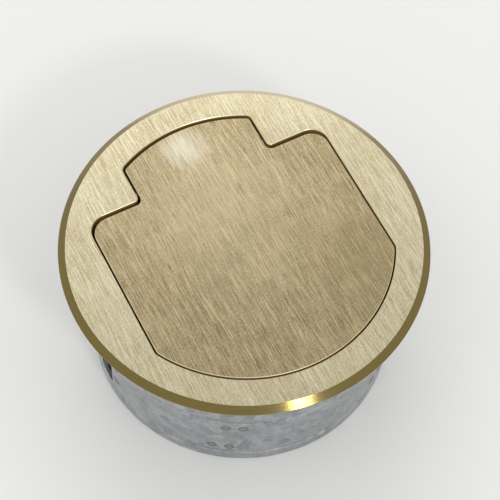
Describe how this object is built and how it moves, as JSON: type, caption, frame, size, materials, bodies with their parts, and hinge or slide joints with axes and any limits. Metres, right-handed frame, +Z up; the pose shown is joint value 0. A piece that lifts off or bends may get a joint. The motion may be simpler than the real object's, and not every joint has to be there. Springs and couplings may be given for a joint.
{
  "type": "conference table box",
  "caption": "Round flush table box: brass trim ring with a flush rocker lid over a steel can with power outlets, data jacks and screw-driven table clamps.",
  "frame": {"origin": "centre of the trim ring's underside, on the table top", "axes": "+Z up out of the table, +X along the lid's hinge, +Y towards the tab that is pressed"},
  "size_m": [0.15, 0.15, 0.0725],
  "materials": {
    "brass": "brushed",
    "pin_steel": "ground",
    "zinc_steel": "zinc plated",
    "deck_paint": "fine textured powder coat",
    "seat_plastic": "moulded",
    "seal_rubber": "matte",
    "outlet_plastic": "moulded",
    "outlet_base": "moulded",
    "contact_brass": "bright",
    "jack_plastic": "moulded",
    "earth_green": "green dyed plating",
    "claw_zinc": "die cast and plated"
  },
  "bodies": {
    "box": {"trim_ring": "brass", "table_gasket": "seal_rubber", "ring_screws": "zinc_steel", "hinge_pins": "pin_steel", "lid_seat": "seat_plastic", "lid_seal": "seal_rubber", "seat_screws": "zinc_steel", "can": "zinc_steel", "device_deck": "deck_paint", "deck_brackets": "zinc_steel", "deck_screws": "zinc_steel", "divider": "zinc_steel", "earth_screw": "earth_green", "earth_washer": "contact_brass", "data_bezel": "outlet_plastic", "wiring_cover": "zinc_steel", "cover_brackets": "zinc_steel", "cover_screws": "zinc_steel", "power_bushing": "seat_plastic", "data_bushing": "seat_plastic", "outlet_face_left": "outlet_plastic", "outlet_base_left": "outlet_base", "outlet_contacts_left": "contact_brass", "outlet_terminals_left": "zinc_steel", "data_jack_left": "jack_plastic", "jack_contacts_left": "contact_brass", "jack_cap_left": "outlet_base", "clamp_channel_left": "zinc_steel", "outlet_face_right": "outlet_plastic", "outlet_base_right": "outlet_base", "outlet_contacts_right": "contact_brass", "outlet_terminals_right": "zinc_steel", "data_jack_right": "jack_plastic", "jack_contacts_right": "contact_brass", "jack_cap_right": "outlet_base", "clamp_channel_right": "zinc_steel"},
    "rocker_lid": {"lid": "brass", "lid_lugs": "brass"},
    "clamp_screw_left": {"clamp_screw_left": "zinc_steel", "clamp_clip_left": "pin_steel"},
    "clamp_carriage_left": {"clamp_carriage_left": "claw_zinc", "claw_pin_left": "pin_steel"},
    "claw_left": {"claw_left": "claw_zinc", "claw_pad_left": "seal_rubber"},
    "clamp_screw_right": {"clamp_screw_right": "zinc_steel", "clamp_clip_right": "pin_steel"},
    "clamp_carriage_right": {"clamp_carriage_right": "claw_zinc", "claw_pin_right": "pin_steel"},
    "claw_right": {"claw_right": "claw_zinc", "claw_pad_right": "seal_rubber"}
  },
  "joints": [
    {"name": "lid_hinge", "type": "hinge", "parent": "box", "child": "rocker_lid", "pos_m": [0, 0.04125, -0.0015], "axis": [-1, 0, 0], "range_deg": [0, 110]},
    {"name": "clamp_screw_turn_right", "type": "hinge", "parent": "box", "child": "clamp_screw_right", "pos_m": [0.051, 0, -0.008], "axis": [0, 0, -1], "range_deg": [0, 13371]},
    {"name": "clamp_lift_right", "type": "slide", "parent": "box", "child": "clamp_carriage_right", "axis": [0, 0, 1], "range_m": [0, 0.026]},
    {"name": "claw_swing_right", "type": "hinge", "parent": "clamp_carriage_right", "child": "claw_right", "pos_m": [0.059, 0, -0.053], "axis": [0, 1, 0], "range_deg": [0, 90]},
    {"name": "clamp_screw_turn_left", "type": "hinge", "parent": "box", "child": "clamp_screw_left", "pos_m": [-0.051, 0, -0.008], "axis": [0, 0, -1], "range_deg": [0, 13371]},
    {"name": "clamp_lift_left", "type": "slide", "parent": "box", "child": "clamp_carriage_left", "axis": [0, 0, 1], "range_m": [0, 0.026]},
    {"name": "claw_swing_left", "type": "hinge", "parent": "clamp_carriage_left", "child": "claw_left", "pos_m": [-0.059, 0, -0.053], "axis": [0, -1, 0], "range_deg": [0, 90]}
  ],
  "couplings": [
    {"joint": "clamp_screw_turn_right", "follows": "clamp_lift_right", "rad_per_m": 8975.7},
    {"joint": "clamp_screw_turn_left", "follows": "clamp_lift_left", "rad_per_m": 8975.7}
  ]
}
